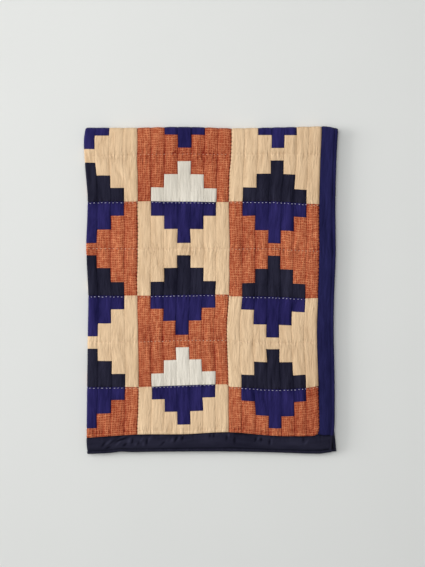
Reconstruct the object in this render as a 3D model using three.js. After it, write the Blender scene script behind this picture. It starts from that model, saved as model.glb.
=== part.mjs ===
// A hand-quilted patchwork quilt, folded in four and laid flat.
// It is pieced from log blocks: patchwork, two side borders, two end borders and four strips of
// binding folded over the raw edge. The first fold doubles it over side to side, and the second
// brings the head end under the foot end, so that four layers lie one above the other.
// Millimetres, +Z up, +Y towards the second fold, -X towards the first fold. The origin is under the
// middle of the folded stack, on the surface that it rests on.
import * as THREE from "three";

// The quilt laid out flat. "across" runs from the first fold, positive on the outer layers and
// negative on the inner ones. "along" runs from the second fold, positive on the upper layers, down
// to the foot of the quilt, and negative on the lower layers, down to its head.
const LOG = 40; // finished width of one strip of patchwork
const OUTER_LOGS = 17.75; // patchwork from the first fold to the side border, outer layers
const INNER_LOGS = 17.25; // the same on the inner layers
const FOOT_LOGS = 23.47; // patchwork from the second fold to the foot border
const HEAD_LOGS = 22.25; // patchwork from the second fold to the head border
const SIDE_BORDER = 38;
const END_BORDER = 44;
const BINDING = 9; // how far the binding reaches in from the quilt's edge

// Thicknesses
const QUILT = 5; // patchwork, batting and backing together
const LAYER_GAP = 1.5; // between folded layers
const SEAM_GAP = 0.3; // between one piece and the next
const BINDING_DEPTH = 6; // over both faces of the bound edge
const BINDING_CLOTH = 1; // doubled binding cloth
const TUCKED = 3.4; // the quilt where the binding squeezes it
const TUCKED_REACH = 7.3; // how far the squeezed edge runs into the binding
const SHOULDER = 0.5; // length of the step down to the squeezed edge
const ROUNDING = 1.8; // the binding's outer edge rounds over within this length

// Folds: radius of the sheet's middle at the first fold, and of the doubled sheet at the second
const FIRST_FOLD = (QUILT + LAYER_GAP) / 2;
const SECOND_FOLD = QUILT + LAYER_GAP;
const QUARTER = Math.PI / 2;
const FIRST_TURN = QUARTER * FIRST_FOLD; // half the length of cloth in the bend
const SECOND_TURN = QUARTER * (SECOND_FOLD + FIRST_FOLD);
const MIDDLE_HEIGHT = SECOND_FOLD + FIRST_FOLD + QUILT / 2;

// The upper layers reach past the lower ones at the foot and sag a little there.
const SAG = 4;
const SAG_FROM = 946;
const SAG_LENGTH = 36;

// How finely the sheet is divided
const STEP = 82; // along and across the flat layers
const FIRST_TURN_STEPS = 6;
const SECOND_TURN_STEPS = 8;

// Edges of the flat quilt
const OUTER_FIELD = OUTER_LOGS * LOG;
const INNER_FIELD = -INNER_LOGS * LOG;
const FOOT_FIELD = FOOT_LOGS * LOG;
const HEAD_FIELD = -HEAD_LOGS * LOG;

// Where the flat quilt's lines wander, because it is pieced and folded by hand. Each column is a
// line along the quilt, by its distance across from the first fold: the fold itself, the seams and
// middles of the two blocks that lie whole on each layer, and the edge. The inner layers follow the
// outer ones, and their edge wanders by the column "inner" more.
const LINES = {
  fold: 0,
  seam1: 150,
  block1: 290,
  seam2: 430,
  block2: 570,
  seam3: OUTER_FIELD,
  edge: OUTER_FIELD + SIDE_BORDER + BINDING,
};

// Towards +X, at distances along the quilt
const SIDEWAYS = [
  { along: -943, fold: 3, seam1: 2, block1: 1, seam2: 0, block2: -4, seam3: -7, edge: -9, inner: 15 },
  { along: -480, fold: 6, seam1: 3, block1: 1, seam2: 0, block2: -4, seam3: -8, edge: -10, inner: 21 },
  { along: -225, fold: 5, seam1: 3, block1: 2, seam2: 2, block2: -1, seam3: -6, edge: -6, inner: 18 },
  { along: 0, fold: -3, seam1: 3, block1: 7, seam2: 9, block2: 11, seam3: 3, edge: 6, inner: 14 },
  { along: 45, fold: -8, seam1: 3, block1: 7, seam2: 9, block2: 11, seam3: 2, edge: 4, inner: 14 },
  { along: 110, fold: -5, seam1: 3, block1: 7, seam2: 6, block2: 9, seam3: -1, edge: 1, inner: 14 },
  { along: 225, fold: 3, seam1: 5, block1: 5, seam2: 3, block2: 2, seam3: -4, edge: -2, inner: 16 },
  { along: 375, fold: -1, seam1: 5, block1: 5, seam2: 3, block2: 0, seam3: -4, edge: -1, inner: 15 },
  { along: 515, fold: 5, seam1: 4, block1: 3, seam2: 1, block2: -2, seam3: -8, edge: -6, inner: 15 },
  { along: 620, fold: 4, seam1: 6, block1: -1, seam2: -4, block2: -6, seam3: -11, edge: -7, inner: 16 },
  { along: 800, fold: 2, seam1: 8, block1: 4, seam2: 0, block2: 0, seam3: -6, edge: -4, inner: 17 },
  { along: 940, fold: 0, seam1: 4, block1: 5, seam2: 1, block2: 3, seam3: -3, edge: -5, inner: 19 },
  { along: 992, fold: 3, seam1: 3, block1: 4, seam2: 0, block2: 3, seam3: -4, edge: -8, inner: 25 },
];

// Away from the second fold, at distances along the quilt
const LENGTHWAYS = [
  { along: -943, fold: 24, seam1: 22, block1: 20, seam2: 22, block2: 25, seam3: 22, edge: 20, inner: -5 },
  { along: -15, fold: 1, seam1: 1, block1: -2, seam2: 2, block2: 0, seam3: -3, edge: -2, inner: 0 },
  { along: 15, fold: 1, seam1: 1, block1: -2, seam2: 2, block2: 0, seam3: -3, edge: -2, inner: 0 },
  { along: 230, fold: 2, seam1: 1, block1: 0, seam2: 1, block2: 0, seam3: 7, edge: 8, inner: 0 },
  { along: 510, fold: 4, seam1: 5, block1: 3, seam2: 2, block2: 4, seam3: 12, edge: 13, inner: -2 },
  { along: 790, fold: 2, seam1: 1, block1: -3, seam2: -4, block2: 4, seam3: -1, edge: -2, inner: -3 },
  { along: 939, fold: 7, seam1: -3, block1: -4, seam2: -10, block2: 1, seam3: 1, edge: -2, inner: -4 },
  { along: 992, fold: 4, seam1: -2, block1: -4, seam2: -4, block2: -1, seam3: 3, edge: -2, inner: -5 },
];

// How much fuller or flatter than even the stack lies: more at the springy folds, less at its open
// edges, with slow waves between. Each row is a share of the height.
const FULLNESS = [
  { share: 0.06, edge: "second fold", reach: 60 },
  { share: 0.05, edge: "first fold", reach: 45 },
  { share: -0.06, edge: "open side", reach: 60 },
  { share: -0.04, edge: "foot", reach: 50 },
];
const WAVES = [
  { share: 0.025, acrossLength: 520, alongLength: 410, acrossPhase: 0.7, alongPhase: 2.1 },
  { share: 0.015, acrossLength: 260, alongLength: 190, acrossPhase: 2.6, alongPhase: 0.4 },
];

// A smooth curve through values at rising stops, level beyond both ends.
function through(stops, values, at) {
  const last = stops.length - 1;
  if (at <= stops[0]) {
    return values[0];
  }
  if (at >= stops[last]) {
    return values[last];
  }
  const i = stops.findIndex((stop) => stop > at) - 1;
  const slope = (k) => {
    const before = Math.max(k - 1, 0);
    const after = Math.min(k + 1, last);
    return (values[after] - values[before]) / (stops[after] - stops[before]);
  };
  const span = stops[i + 1] - stops[i];
  const t = (at - stops[i]) / span;
  const rise = t * t * (3 - 2 * t);
  return (
    values[i] * (1 - rise) +
    values[i + 1] * rise +
    slope(i) * span * t * (1 - t) * (1 - t) -
    slope(i + 1) * span * t * t * (1 - t)
  );
}

// How far a point of the flat quilt wanders, by one of the two tables.
function wander(table, across, along) {
  const stops = Object.values(LINES);
  const names = Object.keys(LINES);
  const apart = Math.abs(across);
  const atRows = table.map((row) => {
    const shared = through(stops, names.map((name) => row[name]), apart);
    return across < 0 ? shared + (row.inner * apart) / LINES.edge : shared;
  });
  return through(table.map((row) => row.along), atRows, along);
}

function fullness(x, y) {
  const distances = {
    "second fold": SECOND_FOLD + FIRST_FOLD - y,
    "first fold": x + FIRST_FOLD,
    "open side": LINES.edge - FIRST_TURN - x,
    foot: FOOT_FIELD + END_BORDER + BINDING - SECOND_TURN + y,
  };
  let share = 1;
  for (const row of FULLNESS) {
    share += row.share * Math.exp(-Math.abs(distances[row.edge]) / row.reach);
  }
  for (const wave of WAVES) {
    const sideways = Math.sin((2 * Math.PI * x) / wave.acrossLength + wave.acrossPhase);
    const lengthways = Math.sin((2 * Math.PI * y) / wave.alongLength + wave.alongPhase);
    share += wave.share * sideways * lengthways;
  }
  return share;
}

// The folded place of a point of the flat quilt that lies "out" in front of the sheet's middle, on
// the patchwork side.
function place(across, along, out) {
  const clampTurn = (share) => Math.min(Math.max(share, -1), 1) * QUARTER;

  // First fold: about a line along the quilt, with the patchwork outside.
  const firstAngle = clampTurn(across / FIRST_TURN);
  const reach = FIRST_FOLD + out;
  const x = Math.max(Math.abs(across) - FIRST_TURN, 0) - reach * Math.cos(firstAngle);
  const lift = reach * Math.sin(firstAngle);

  // Second fold: the doubled sheet about a line across it, with the outer layers outside.
  const secondAngle = clampTurn(along / SECOND_TURN);
  const radius = SECOND_FOLD + lift;
  const y = radius * Math.cos(secondAngle) - Math.max(Math.abs(along) - SECOND_TURN, 0);
  const z = MIDDLE_HEIGHT + radius * Math.sin(secondAngle);

  // Unevenness, the surface that presses the lowest layer flat, and the sag at the foot.
  const px = x + wander(SIDEWAYS, across, along);
  const py = y - wander(LENGTHWAYS, across, along);
  const past = Math.min(Math.max((-py - SAG_FROM) / SAG_LENGTH, 0), 1);
  const sag = along > 0 ? SAG * past * past : 0;
  return new THREE.Vector3(px, py, Math.max(z, 0) * fullness(px, py) - sag);
}

// Rising stops from one distance to another, even on the flat layers and closer in the turn.
function divide(from, to, turn, turnSteps) {
  const stops = [];
  const addEven = (start, end) => {
    const count = Math.max(Math.round((end - start) / STEP), 1);
    for (let i = 0; i < count; i++) {
      stops.push(start + ((end - start) * i) / count);
    }
  };
  addEven(from, -turn);
  for (let i = 0; i < turnSteps; i++) {
    stops.push(-turn + (2 * turn * i) / turnSteps);
  }
  addEven(turn, to);
  stops.push(to);
  return stops;
}

const ALONG_FIELD = divide(
  HEAD_FIELD + SEAM_GAP / 2,
  FOOT_FIELD - SEAM_GAP / 2,
  SECOND_TURN,
  SECOND_TURN_STEPS,
);
const ACROSS_FIELD = divide(
  INNER_FIELD + SEAM_GAP / 2,
  OUTER_FIELD - SEAM_GAP / 2,
  FIRST_TURN,
  FIRST_TURN_STEPS,
);

// Stops across a border, from its seam out to the edge that is tucked into the binding.
function borderStops(seam, width, sign) {
  const bound = seam + sign * width;
  const stops = [
    seam + (sign * SEAM_GAP) / 2,
    seam + (sign * width) / 2,
    bound - sign * (SEAM_GAP + SHOULDER),
    bound - sign * SEAM_GAP,
    bound + sign * TUCKED_REACH,
  ];
  return sign > 0 ? stops : stops.reverse();
}

const OUTER_BORDER = borderStops(OUTER_FIELD, SIDE_BORDER, 1);
const INNER_BORDER = borderStops(INNER_FIELD, SIDE_BORDER, -1);
const FOOT_BORDER = borderStops(FOOT_FIELD, END_BORDER, 1);
const HEAD_BORDER = borderStops(HEAD_FIELD, END_BORDER, -1);

// Half the sheet's thickness: less where the binding squeezes it.
function halfThickness(across, along) {
  const tucked =
    across >= OUTER_FIELD + SIDE_BORDER - SEAM_GAP ||
    across <= INNER_FIELD - SIDE_BORDER + SEAM_GAP ||
    along >= FOOT_FIELD + END_BORDER - SEAM_GAP ||
    along <= HEAD_FIELD - END_BORDER + SEAM_GAP;
  return (tucked ? TUCKED : QUILT) / 2;
}

// One closed surface from points and triangles, turned to face outwards.
function closed(points, triangles) {
  let volume = 0;
  const normal = new THREE.Vector3();
  for (const [a, b, c] of triangles) {
    volume += points[a].dot(normal.crossVectors(points[b], points[c]));
  }
  const outward = volume > 0 ? triangles : triangles.map(([a, b, c]) => [a, c, b]);
  const geometry = new THREE.BufferGeometry().setFromPoints(points);
  geometry.setIndex(outward.flat());
  geometry.computeVertexNormals();
  return geometry;
}

// A quilted panel: a grid of points on the front and the back of the sheet, joined round its rim.
function panel(acrossStops, alongStops) {
  const points = [];
  const triangles = [];
  const columns = acrossStops.length;
  const rows = alongStops.length;
  const back = columns * rows;
  for (const side of [1, -1]) {
    for (const along of alongStops) {
      for (const across of acrossStops) {
        points.push(place(across, along, side * halfThickness(across, along)));
      }
    }
  }
  const quad = (a, b, c, d) => triangles.push([a, b, c], [a, c, d]);
  const at = (column, row) => row * columns + column;
  for (let row = 0; row < rows - 1; row++) {
    for (let column = 0; column < columns - 1; column++) {
      const [near, far] = [at(column, row), at(column, row + 1)];
      const corners = [near, near + 1, far + 1, far];
      quad(...corners);
      quad(...corners.map((corner) => corner + back).reverse());
    }
  }
  for (let row = 0; row < rows - 1; row++) {
    const [left, right] = [at(0, row), at(columns - 1, row)];
    quad(left, left + columns, left + columns + back, left + back);
    quad(right + columns, right, right + back, right + columns + back);
  }
  for (let column = 0; column < columns - 1; column++) {
    const [first, last] = [at(column, 0), at(column, rows - 1)];
    quad(first + 1, first, first + back, first + 1 + back);
    quad(last, last + 1, last + 1 + back, last + back);
  }
  return closed(points, triangles);
}

// The binding's section: doubled cloth folded round the tucked edge. "in" runs from the binding's
// inner lip to the quilt's edge.
const LIP = BINDING_DEPTH / 2;
const SLOT = LIP - BINDING_CLOTH;
const SLOT_END = TUCKED_REACH + SEAM_GAP;
const rounded = (turn) => ({
  in: BINDING - ROUNDING * (1 - Math.cos(turn)),
  out: LIP * Math.sin(turn),
});
const BINDING_SECTION = [
  { in: 0, out: LIP },
  ...[1, 0.6, 0.2, -0.2, -0.6, -1].map((share) => rounded(share * QUARTER)),
  { in: 0, out: -LIP },
  { in: 0, out: -SLOT },
  { in: SLOT_END, out: -SLOT },
  { in: SLOT_END, out: SLOT },
  { in: 0, out: SLOT },
];

// A strip of binding: its section carried along an edge. "at" gives the flat quilt's across and
// along from the distance in from the lip and the distance along the edge.
function binding(stops, at) {
  const count = BINDING_SECTION.length;
  const points = stops.flatMap((stop) =>
    BINDING_SECTION.map((corner) => place(...at(corner.in, stop), corner.out)),
  );
  const triangles = [];
  for (let ring = 0; ring < stops.length - 1; ring++) {
    for (let corner = 0; corner < count; corner++) {
      const a = ring * count + corner;
      const b = ring * count + ((corner + 1) % count);
      triangles.push([a, b, b + count], [a, b + count, a + count]);
    }
  }
  const outline = BINDING_SECTION.map((corner) => new THREE.Vector2(corner.in, corner.out));
  const lastRing = (stops.length - 1) * count;
  // The section's corners run clockwise, so its own triangles face the way that the rings go.
  for (const [a, b, c] of THREE.ShapeUtils.triangulateShape(outline, [])) {
    triangles.push([a, b, c], [a + lastRing, c + lastRing, b + lastRing]);
  }
  return closed(points, triangles);
}

const COLOURS = { patchwork: 0xdcba97, indigo: 0x262352, navy: 0x222130 };

function cotton(colour) {
  return new THREE.MeshStandardMaterial({ color: COLOURS[colour], roughness: 0.9, metalness: 0 });
}

const quilt = new THREE.Group();

function add(name, geometry, colour) {
  const mesh = new THREE.Mesh(geometry, cotton(colour));
  mesh.name = name;
  quilt.add(mesh);
}

// End borders and their binding run the full width of the quilt. Side borders lie beside the
// patchwork, and their binding runs from one end binding to the other.
const FULL_WIDTH = [...INNER_BORDER.slice(0, -1), ...ACROSS_FIELD, ...OUTER_BORDER.slice(1)];
const FULL_LENGTH = [...HEAD_BORDER.slice(0, -1), ...ALONG_FIELD, ...FOOT_BORDER.slice(1)];
const HEAD_STOP = HEAD_FIELD - END_BORDER + SEAM_GAP;
const FOOT_STOP = FOOT_FIELD + END_BORDER - SEAM_GAP;
const END_BINDING = [INNER_FIELD - SIDE_BORDER - BINDING, ...FULL_WIDTH, LINES.edge];
const SIDE_BINDING = [
  HEAD_STOP,
  ...FULL_LENGTH.filter((along) => along > HEAD_STOP && along < FOOT_STOP),
  FOOT_STOP,
];

add("quilted_patchwork", panel(ACROSS_FIELD, ALONG_FIELD), "patchwork");
add("side_border_outer", panel(OUTER_BORDER, ALONG_FIELD), "indigo");
add("side_border_inner", panel(INNER_BORDER, ALONG_FIELD), "indigo");
add("foot_border", panel(FULL_WIDTH, FOOT_BORDER), "navy");
add("head_border", panel(FULL_WIDTH, HEAD_BORDER), "navy");
add(
  "side_binding_outer",
  binding(SIDE_BINDING, (inward, stop) => [OUTER_FIELD + SIDE_BORDER + inward, stop]),
  "indigo",
);
add(
  "side_binding_inner",
  binding(SIDE_BINDING, (inward, stop) => [INNER_FIELD - SIDE_BORDER - inward, stop]),
  "indigo",
);
add(
  "foot_binding",
  binding(END_BINDING, (inward, stop) => [stop, FOOT_FIELD + END_BORDER + inward]),
  "navy",
);
add(
  "head_binding",
  binding(END_BINDING, (inward, stop) => [stop, HEAD_FIELD - END_BORDER - inward]),
  "navy",
);

// Stand the middle of the stack on the origin.
const box = new THREE.Box3().setFromObject(quilt);
quilt.position.set(-(box.min.x + box.max.x) / 2, -(box.min.y + box.max.y) / 2, 0);

export default quilt;
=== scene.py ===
"""A patchwork quilt, folded up and laid flat: its cloths, quilting and stitches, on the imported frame.

Shapes are worked out in millimetres and turned to metres when a mesh is made. A point of the cloth
is named by its place on the open quilt: "across" runs from the first fold, positive on the outer
layers, and "along" from the second fold, positive on the upper layers, down to the quilt's foot.
"""

import math

import bpy
import numpy as np
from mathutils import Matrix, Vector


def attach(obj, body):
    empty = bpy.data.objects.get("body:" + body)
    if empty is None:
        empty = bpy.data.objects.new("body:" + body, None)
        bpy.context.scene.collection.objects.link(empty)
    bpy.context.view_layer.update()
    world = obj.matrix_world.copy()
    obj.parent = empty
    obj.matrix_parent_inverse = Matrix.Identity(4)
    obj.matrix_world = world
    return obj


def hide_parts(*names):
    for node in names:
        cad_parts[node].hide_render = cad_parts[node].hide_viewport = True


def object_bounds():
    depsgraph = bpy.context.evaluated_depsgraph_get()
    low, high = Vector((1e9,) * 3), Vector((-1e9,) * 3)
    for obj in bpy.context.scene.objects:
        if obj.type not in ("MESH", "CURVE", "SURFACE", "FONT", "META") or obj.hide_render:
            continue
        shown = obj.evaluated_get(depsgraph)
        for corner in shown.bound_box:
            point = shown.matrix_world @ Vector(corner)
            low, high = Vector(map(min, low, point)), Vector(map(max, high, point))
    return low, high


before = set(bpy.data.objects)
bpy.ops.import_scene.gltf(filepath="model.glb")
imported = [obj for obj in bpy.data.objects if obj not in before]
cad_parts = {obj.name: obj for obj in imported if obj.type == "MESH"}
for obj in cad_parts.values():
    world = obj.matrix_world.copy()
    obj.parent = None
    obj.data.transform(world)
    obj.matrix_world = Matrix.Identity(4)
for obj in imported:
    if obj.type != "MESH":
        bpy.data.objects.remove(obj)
FRAME_BOX = [list(corner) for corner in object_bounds()]

bl_info = {
    "name": "Folded patchwork quilt",
    "version": (1, 0, 0),
    "blender": (4, 5, 0),
    "location": "View3D > Sidebar > Quilt",
    "description": "Makes the cloths, quilting, stitches and stage of a folded log-block quilt",
    "category": "Add Mesh",
}

MM = 0.001

# ---- The open quilt and how it is folded, as in the part's source ----

LOG = 40.0  # finished width of one strip of patchwork
BLOCK = 7 * LOG
SIDE_BORDER = 38.0
END_BORDER = 44.0
BINDING = 9.0
OUTER_FIELD = 17.75 * LOG  # patchwork from the first fold to the side border, outer layers
INNER_FIELD = -17.25 * LOG
FOOT_FIELD = 23.47 * LOG  # patchwork from the second fold to the foot border
HEAD_FIELD = -22.25 * LOG
OUTER_SEAM = OUTER_FIELD + SIDE_BORDER  # between each border and its binding
INNER_SEAM = INNER_FIELD - SIDE_BORDER
FOOT_SEAM = FOOT_FIELD + END_BORDER
HEAD_SEAM = HEAD_FIELD - END_BORDER
OPEN_EDGE = OUTER_SEAM + BINDING

QUILT = 5.0  # patchwork, batting and backing together
LAYER_GAP = 1.5
SEAM_GAP = 0.3
BINDING_DEPTH = 6.0
BINDING_CLOTH = 1.0
TUCKED = 3.4  # the quilt's thickness where the binding squeezes it
TUCKED_REACH = 7.3
SHOULDER = 0.5

FIRST_FOLD = (QUILT + LAYER_GAP) / 2
SECOND_FOLD = QUILT + LAYER_GAP
QUARTER = math.pi / 2
FIRST_TURN = QUARTER * FIRST_FOLD  # half the length of cloth in the bend
SECOND_TURN = QUARTER * (SECOND_FOLD + FIRST_FOLD)
MIDDLE_HEIGHT = SECOND_FOLD + FIRST_FOLD + QUILT / 2
SAG = 4.0
SAG_FROM = 946.0
SAG_LENGTH = 36.0
STACK_MIDDLE = (373.22, -482.46)  # the frame's origin, from the lines of the two folds

# Seams of the patchwork: blocks start at the first log line, and so do the rows
FIRST_LINE_ACROSS = -10.0
FIRST_LINE_ALONG = -50.0
BLOCK_LEFT = -130.0  # the block that the first fold runs through
BLOCK_TOP = -50.0  # the row that the second fold runs through

# Distances across of the lines along the quilt whose wandering the two tables give
LINES = {"fold": 0, "seam1": 150, "block1": 290, "seam2": 430, "block2": 570}
LINES |= {"seam3": OUTER_FIELD, "edge": OPEN_EDGE}


def rows_of(text):
    """A table typed as text: a line of column names, then a line of numbers for each row."""
    names, *lines = [line.split() for line in text.strip().splitlines()]
    columns = np.array([[float(number) for number in line] for line in lines]).T
    return dict(zip(names, columns))


# Towards +X, at distances along the quilt; "inner" is what the inner layers' edge wanders more
SIDEWAYS = rows_of("""
  along fold seam1 block1 seam2 block2 seam3 edge inner
  -943  3 2  1  0 -4  -7  -9 15
  -480  6 3  1  0 -4  -8 -10 21
  -225  5 3  2  2 -1  -6  -6 18
     0 -3 3  7  9 11   3   6 14
    45 -8 3  7  9 11   2   4 14
   110 -5 3  7  6  9  -1   1 14
   225  3 5  5  3  2  -4  -2 16
   375 -1 5  5  3  0  -4  -1 15
   515  5 4  3  1 -2  -8  -6 15
   620  4 6 -1 -4 -6 -11  -7 16
   800  2 8  4  0  0  -6  -4 17
   940  0 4  5  1  3  -3  -5 19
   992  3 3  4  0  3  -4  -8 25
""")

# Away from the second fold
LENGTHWAYS = rows_of("""
  along fold seam1 block1 seam2 block2 seam3 edge inner
  -943 24 22 20  22 25 22 20 -5
   -15  1  1 -2   2  0 -3 -2  0
    15  1  1 -2   2  0 -3 -2  0
   230  2  1  0   1  0  7  8  0
   510  4  5  3   2  4 12 13 -2
   790  2  1 -3  -4  4 -1 -2 -3
   939  7 -3 -4 -10  1  1 -2 -4
   992  4 -2 -4  -4 -1  3 -2 -5
""")

# How much fuller or flatter than even the stack lies, as shares of its height, and how far in they
# reach: at the second fold, the first fold, the open side and the foot
FULLNESS = ((0.06, 60), (0.05, 45), (-0.06, 60), (-0.04, 50))
# Share, wave length across and along, phase across and along
WAVES = ((0.025, 520, 410, 0.7, 2.1), (0.015, 260, 190, 2.6, 0.4))

# How slack cloth lies in from the outline
DRAWN_IN = 5.5  # the uppermost layer, at the foot's open corner
SPREAD = 3.0  # the layer below it there, the other way
ROUNDED = 7.0  # the second fold's open end
DENT = 3.0  # the foot's edge near the first fold
BLUNTED = 4.5  # the patchwork's corner beside the foot's open corner


def ease(t):
    """Rises from 0 to 1 as t does, level at both ends."""
    t = np.clip(t, 0, 1)
    return t * t * (3 - 2 * t)


def bell(away, width):
    """Falls from 1 on both sides, to 1/e at the width: a power of minus the distance's square."""
    return np.exp(-((away / width) ** 2))


def pick(rows, k):
    """For each point the value in its own row k."""
    return np.take_along_axis(rows, k[None], axis=0)[0]


def through(stops, values, at):
    """A smooth curve through values at rising stops, level beyond both ends.

    Between two stops it is the cubic that takes their values, and at each the slope from the stop
    before to the stop after. values has a row for each stop: one number, or one for each of `at`.
    """
    stops, values = np.asarray(stops, float), np.asarray(values, float)
    upright = (-1, *[1] * at.ndim)
    if values.ndim == 1:
        values = np.broadcast_to(values.reshape(upright), (len(stops), *at.shape))
    order = np.arange(len(stops))
    before, after = np.maximum(order - 1, 0), np.minimum(order + 1, order[-1])
    slopes = (values[after] - values[before]) / (stops[after] - stops[before]).reshape(upright)
    at = np.clip(at, stops[0], stops[-1])
    i = np.clip(np.searchsorted(stops, at, side="right") - 1, 0, order[-1] - 1)
    span = stops[i + 1] - stops[i]
    t = (at - stops[i]) / span
    return (
        pick(values, i) * (1 - ease(t))
        + pick(values, i + 1) * ease(t)
        + pick(slopes, i) * span * t * (1 - t) ** 2
        - pick(slopes, i + 1) * span * t**2 * (1 - t)
    )


def wander(table, across, along):
    """How far points of the flat quilt wander, by one of the two tables: a curve through each row's
    lines at the distance across, then a curve through those values at the distance along."""
    apart = np.abs(across)
    rows = []
    for r in range(len(table["along"])):
        shared = through(list(LINES.values()), [table[name][r] for name in LINES], apart)
        rows.append(shared + np.where(across < 0, table["inner"][r] * apart / OPEN_EDGE, 0))
    return through(table["along"], np.array(rows), along)


def fullness(x, y):
    """The share by which the stack's height is more than even: one part for each edge, which dies
    away exponentially, and two products of sines."""
    to_folds = (SECOND_FOLD + FIRST_FOLD - y, x + FIRST_FOLD)
    to_open = (OPEN_EDGE - FIRST_TURN - x, FOOT_SEAM + BINDING - SECOND_TURN + y)
    share = 1.0
    for distance, (part, reach) in zip(to_folds + to_open, FULLNESS):
        share = share + part * np.exp(-np.abs(distance) / reach)
    for part, across_length, along_length, across_phase, along_phase in WAVES:
        sideways = np.sin(2 * np.pi * x / across_length + across_phase)
        share = share + part * sideways * np.sin(2 * np.pi * y / along_length + along_phase)
    return share


def fanned(across, along):
    """At the foot's open corner the uppermost layer is drawn in and the next one spreads, so that
    both show: the product of two smooth steps, towards the foot and towards the open side."""
    corner = ease((along - 900) / 72) * ease((np.abs(across) - 700) / 38)
    return corner * np.where(across > 0, -DRAWN_IN, SPREAD)


def slackened(across, along):
    """How far slack cloth lies in lengthways: at the second fold's open end, the square of the way
    out times a bell about the fold, and less a bell of the foot's edge near the first fold."""
    apart = np.abs(across)
    outwards = np.clip((apart - 712) / 45, 0, 1)
    foot = ease((np.abs(along) - 945) / 45)
    return ROUNDED * outwards**2 * bell(along, 28) - DENT * foot * bell(apart - 100, 26)


def place(across, along, out):
    """Folded places, in millimetres, of points that lie `out` in front of the sheet's middle.

    The sheet turns through a half circle about the first fold, and the doubled sheet through a half
    circle about the second; then its lines wander, its height swells and the foot sags.
    """
    across, along, out = np.broadcast_arrays(across, along, out)
    first_angle = np.clip(across / FIRST_TURN, -1, 1) * QUARTER
    reach = FIRST_FOLD + out
    x = np.maximum(np.abs(across) - FIRST_TURN, 0) - reach * np.cos(first_angle)
    second_angle = np.clip(along / SECOND_TURN, -1, 1) * QUARTER
    radius = SECOND_FOLD + reach * np.sin(first_angle)
    y = radius * np.cos(second_angle) - np.maximum(np.abs(along) - SECOND_TURN, 0)
    z = MIDDLE_HEIGHT + radius * np.sin(second_angle)
    x = x + wander(SIDEWAYS, across, along) + fanned(across, along)
    y = y - wander(LENGTHWAYS, across, along) - slackened(across, along)
    past = np.clip((-y - SAG_FROM) / SAG_LENGTH, 0, 1)
    z = np.maximum(z, 0) * fullness(x, y) - np.where(along > 0, SAG * past**2, 0)
    return np.stack([x - STACK_MIDDLE[0], y - STACK_MIDDLE[1], z], axis=-1)


# ---- The patchwork's plan: which cloth lies where, and how the quilting raises it ----

SAND, RUST, INDIGO, NAVY, WHITE, DEEP_INDIGO, SHADED_NAVY, BACKING = range(8)
PITCH = 11.6  # from one quilting stitch to the next
ROW_TOP = BLOCK_TOP + 3.0  # a row of quilting runs below each of the blocks' seams
MIDDLE_TOP = BLOCK_TOP + BLOCK / 2 - 2.5  # and another through the blocks' middles
PUFFED = np.array([0.75, 1.0, 0.72, 0.85, 0.6])  # share of the puff in each cloth
SLOW = (95, 150, 21)  # cells and seed of the unevenness that the patchwork and borders share
DIP, DIP_WIDTH = 1.1, 2.6  # how deep and wide a dip the faces have on both sides of a border's seam
STANDS = 2.4  # millimetres of relief over which a cloth's painted shade goes from dark in its hollows to a painted highlight where it stands out


def uneven(across, along, cell_across, cell_along, seed):
    """Smooth random relief from -1 to 1: random heights at the corners of cells of that size, each
    point's four corners blended with an eased share."""
    heights = np.random.default_rng(seed).uniform(-1, 1, (61, 67))
    x, y = across / cell_across, along / cell_along
    i, j = np.floor(x).astype(int), np.floor(y).astype(int)
    tx, ty = ease(x - i), ease(y - j)

    def level(down):
        left, right = (heights[(i + k) % 61, (j + down) % 67] for k in (0, 1))
        return left * (1 - tx) + right * tx

    return level(0) * (1 - ty) + level(1) * ty


def cloth_at(across, along):
    """The patch that shows at each point: a log block of seven strips each way, whose steps of 5, 3
    and 1 strips point down from its top seam and up from its foot seam."""
    odd_column = np.floor((across - BLOCK_LEFT) / BLOCK).astype(int) % 2 == 1
    odd_row = np.floor((along - BLOCK_TOP) / BLOCK).astype(int) % 2 == 1
    apart = np.abs((across - BLOCK_LEFT) % BLOCK - BLOCK / 2) / LOG  # logs from the block's middle
    down = ((along - BLOCK_TOP) % BLOCK - BLOCK / 2) / LOG
    step = np.ceil(np.abs(down) - 0.5)  # 0 in the middle row, 1 to 3 towards the seams
    inside = (step > 0) & (apart < step - 0.5)
    background = np.where(odd_row == odd_column, SAND, RUST)
    upright = np.where(~odd_row & odd_column, WHITE, NAVY)
    return np.where(inside, np.where(down < 0, INDIGO, upright), background)


def seam_lines(across, along):
    """Distance to the nearest log line each way, and whether two cloths meet there."""
    line_across = FIRST_LINE_ACROSS + np.round((across - FIRST_LINE_ACROSS) / LOG) * LOG
    line_along = FIRST_LINE_ALONG + np.round((along - FIRST_LINE_ALONG) / LOG) * LOG
    return (
        np.minimum(np.abs(across - line_across), LOG / 2),
        np.minimum(np.abs(along - line_along), LOG / 2),
        cloth_at(line_across - 1, along) != cloth_at(line_across + 1, along),
        cloth_at(across, line_along - 1) != cloth_at(across, line_along + 1),
    )


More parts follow.
